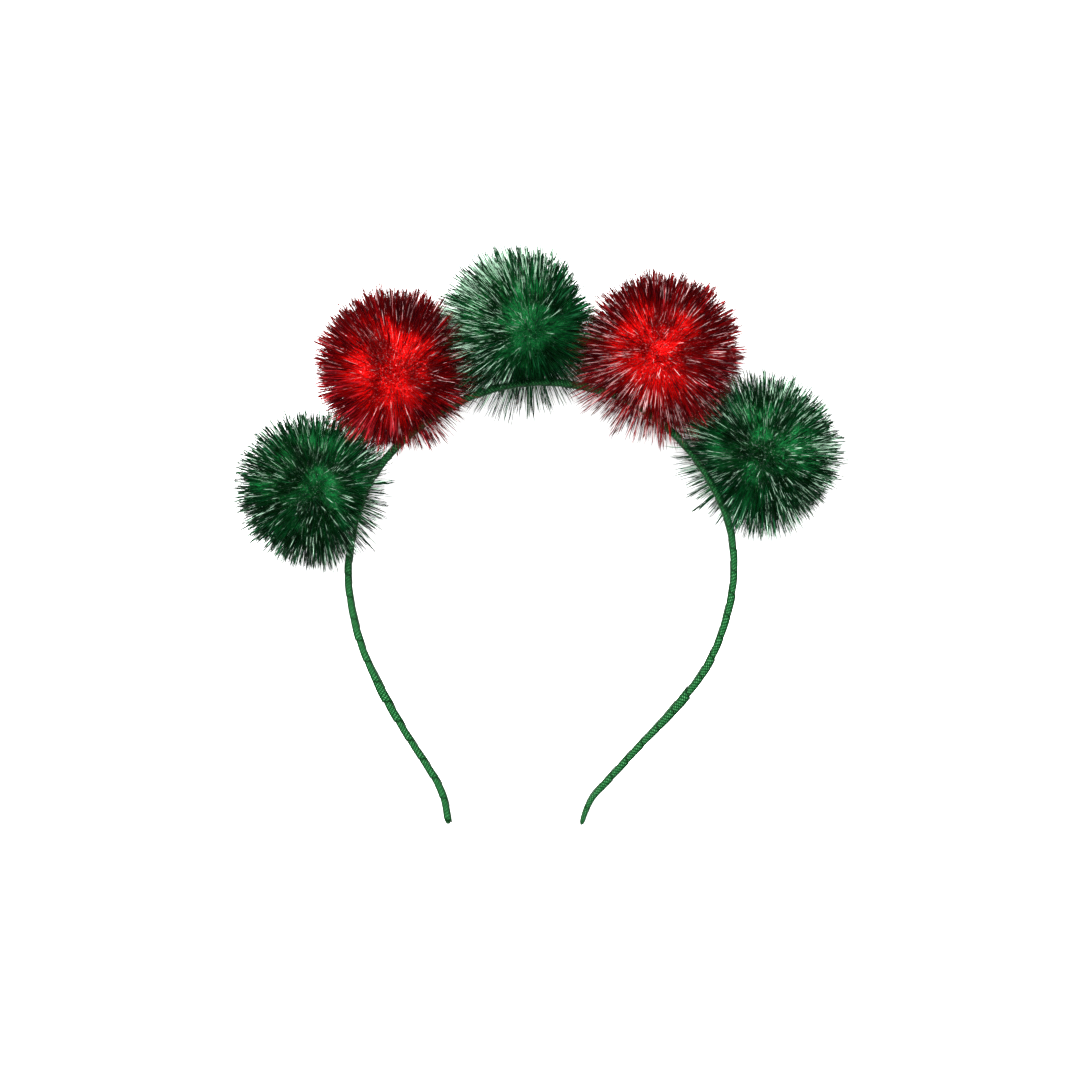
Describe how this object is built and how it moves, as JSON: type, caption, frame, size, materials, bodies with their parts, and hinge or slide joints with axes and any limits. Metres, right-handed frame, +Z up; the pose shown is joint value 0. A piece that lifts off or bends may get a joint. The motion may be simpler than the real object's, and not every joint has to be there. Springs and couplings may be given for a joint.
{
  "type": "pompom headband",
  "caption": "Narrow springy horseshoe band wound in green ribbon, with a row of round red and green tinsel pompoms over the crown.",
  "frame": {"origin": "bottom centre of the bounding box, on the surface that the headband lies on", "axes": "+Z up from the surface, +X from the picture's left to its right, +Y from the tips towards the crown; the band's own plane leans about 11 degrees, rising towards the crown"},
  "size_m": [0.1954, 0.186, 0.0571],
  "materials": {
    "wound_band": "steel strip wound all over in green satin ribbon",
    "ribbon": "green satin ribbon",
    "green_tinsel": "shiny green foil fibre",
    "red_tinsel": "shiny red foil fibre"
  },
  "bodies": {
    "root": {"headband": "wound_band", "tip_fold_left": "ribbon", "tip_fold_right": "ribbon", "ribbon_end_left": "ribbon", "ribbon_end_right": "ribbon", "pompom_left_green": "green_tinsel", "pompom_left_red": "red_tinsel", "pompom_centre_green": "green_tinsel", "pompom_right_red": "red_tinsel", "pompom_right_green": "green_tinsel"}
  },
  "joints": []
}
